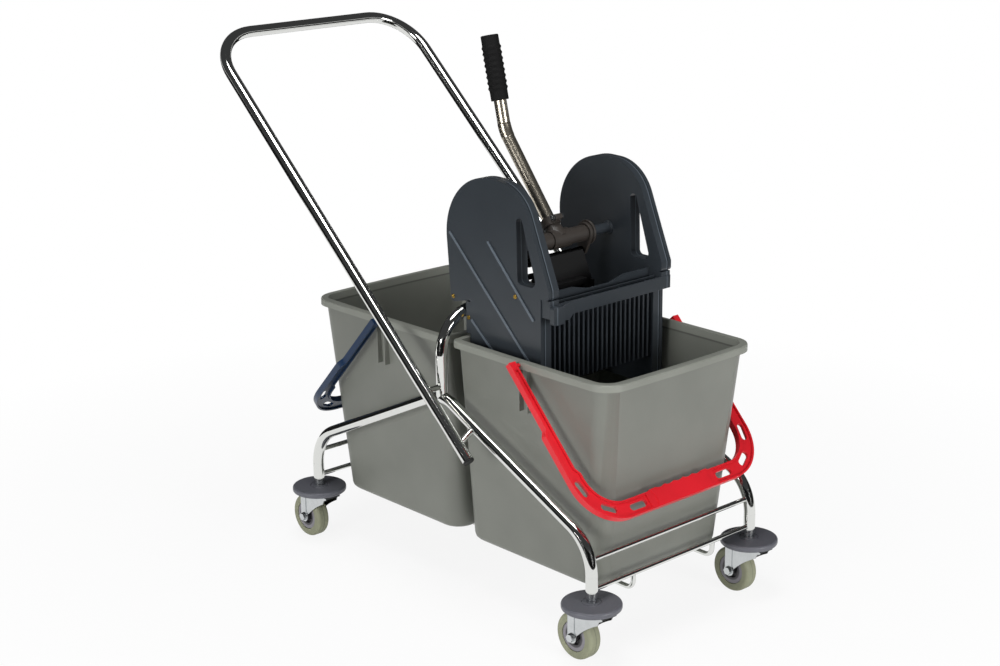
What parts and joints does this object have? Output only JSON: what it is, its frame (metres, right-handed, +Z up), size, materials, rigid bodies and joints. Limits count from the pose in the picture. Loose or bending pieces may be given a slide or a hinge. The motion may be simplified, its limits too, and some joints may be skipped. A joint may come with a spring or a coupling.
{
  "type": "double mop bucket trolley",
  "caption": "Chromed tube mopping trolley on swivel casters, with tapered buckets, swing bails, a bent push handle and a lever wringer hung over the centre hoop.",
  "frame": {"origin": "centre of the overall bounding box, at the floor under the wheels", "axes": "+X to the front, where the wringer's bucket is; +Y to the left; +Z up"},
  "size_m": [0.9448, 0.453, 0.8916],
  "materials": {
    "chrome": "polished chrome plate on bent steel tube and rod",
    "zinc": "zinc-plated pressed steel",
    "dark_steel": "black phosphated steel rod",
    "brass": "yellow passivated screws",
    "bucket_grey": "moulded polypropylene, fine satin",
    "anthracite": "moulded polypropylene, fine satin",
    "black_plastic": "moulded plastic, satin",
    "black_rubber": "ribbed soft rubber",
    "bail_red": "moulded plastic, semi-gloss",
    "bail_blue": "moulded plastic, semi-gloss",
    "bumper_grey": "moulded plastic, satin",
    "hub_grey": "moulded plastic",
    "tyre_grey": "grey non-marking rubber"
  },
  "bodies": {
    "trolley": {"side_rail_right": "chrome", "side_rail_left": "chrome", "hoop": "chrome", "front_upper_bar": "chrome", "front_lower_bar": "chrome", "rear_upper_bar": "chrome", "rear_lower_bar": "chrome", "cradle_rod_right": "chrome", "cradle_rod_left": "chrome", "push_handle": "chrome", "handle_spacers": "chrome", "handle_end_plugs": "black_plastic", "front_right_stem": "zinc", "front_right_bumper": "bumper_grey", "front_left_stem": "zinc", "front_left_bumper": "bumper_grey", "rear_right_stem": "zinc", "rear_right_bumper": "bumper_grey", "rear_left_stem": "zinc", "rear_left_bumper": "bumper_grey", "front_bucket": "bucket_grey", "rear_bucket": "bucket_grey", "cheek_right": "anthracite", "cheek_left": "anthracite", "front_bar": "anthracite", "front_grid": "anthracite", "bar_catch": "anthracite", "rear_tie_rod": "dark_steel", "cheek_screws": "brass", "jaw_pin": "dark_steel"},
    "caster_front_right": {"front_right_fork": "zinc", "front_right_axle": "zinc"},
    "wheel_front_right": {"front_right_hub": "hub_grey", "front_right_tyre": "tyre_grey"},
    "caster_front_left": {"front_left_fork": "zinc", "front_left_axle": "zinc"},
    "wheel_front_left": {"front_left_hub": "hub_grey", "front_left_tyre": "tyre_grey"},
    "caster_rear_right": {"rear_right_fork": "zinc", "rear_right_axle": "zinc"},
    "wheel_rear_right": {"rear_right_hub": "hub_grey", "rear_right_tyre": "tyre_grey"},
    "caster_rear_left": {"rear_left_fork": "zinc", "rear_left_axle": "zinc"},
    "wheel_rear_left": {"rear_left_hub": "hub_grey", "rear_left_tyre": "tyre_grey"},
    "front_bail": {"front_bail": "bail_red"},
    "rear_bail": {"rear_bail": "bail_blue"},
    "lever": {"lever_shaft": "dark_steel", "shaft_sleeve": "black_plastic", "crank_arms": "black_plastic", "push_rod": "dark_steel", "lever_socket": "black_plastic", "socket_clamp": "black_plastic", "clamp_bolt": "zinc", "lever_tube": "chrome", "lever_grip": "black_rubber"},
    "jaw": {"jaw": "black_plastic"}
  },
  "joints": [
    {"name": "swivel_front_right", "type": "hinge", "parent": "trolley", "child": "caster_front_right", "pos_m": [0.4259, -0.18, 0.086], "axis": [0, 0, 1], "continuous": true},
    {"name": "roll_front_right", "type": "hinge", "parent": "caster_front_right", "child": "wheel_front_right", "pos_m": [0.3989, -0.18, 0.0375], "axis": [0, 1, 0], "continuous": true},
    {"name": "swivel_front_left", "type": "hinge", "parent": "trolley", "child": "caster_front_left", "pos_m": [0.4259, 0.18, 0.086], "axis": [0, 0, 1], "continuous": true},
    {"name": "roll_front_left", "type": "hinge", "parent": "caster_front_left", "child": "wheel_front_left", "pos_m": [0.3989, 0.18, 0.0375], "axis": [0, 1, 0], "continuous": true},
    {"name": "swivel_rear_right", "type": "hinge", "parent": "trolley", "child": "caster_rear_right", "pos_m": [-0.2441, -0.18, 0.086], "axis": [0, 0, 1], "continuous": true},
    {"name": "roll_rear_right", "type": "hinge", "parent": "caster_rear_right", "child": "wheel_rear_right", "pos_m": [-0.2711, -0.18, 0.0375], "axis": [0, 1, 0], "continuous": true},
    {"name": "swivel_rear_left", "type": "hinge", "parent": "trolley", "child": "caster_rear_left", "pos_m": [-0.2441, 0.18, 0.086], "axis": [0, 0, 1], "continuous": true},
    {"name": "roll_rear_left", "type": "hinge", "parent": "caster_rear_left", "child": "wheel_rear_left", "pos_m": [-0.2711, 0.18, 0.0375], "axis": [0, 1, 0], "continuous": true},
    {"name": "front_bail_swing", "type": "hinge", "parent": "trolley", "child": "front_bail", "pos_m": [0.2569, 0, 0.42975], "axis": [0, -1, 0], "range_deg": [0, 125]},
    {"name": "rear_bail_swing", "type": "hinge", "parent": "trolley", "child": "rear_bail", "pos_m": [-0.0751, 0, 0.42975], "axis": [0, 1, 0], "range_deg": [0, 140]},
    {"name": "lever_pull", "type": "hinge", "parent": "trolley", "child": "lever", "pos_m": [0.1699, 0, 0.5825], "axis": [0, -1, 0], "range_deg": [0, 60], "stiffness_Nm_per_rad": 1.5, "springref_deg": -68.75},
    {"name": "jaw_press", "type": "hinge", "parent": "trolley", "child": "jaw", "pos_m": [0.17511, 0, 0.3545], "axis": [0, 1, 0], "range_deg": [0, 8.6]}
  ],
  "couplings": [
    {"joint": "jaw_press", "follows": "lever_pull", "ratio": 0.14}
  ]
}
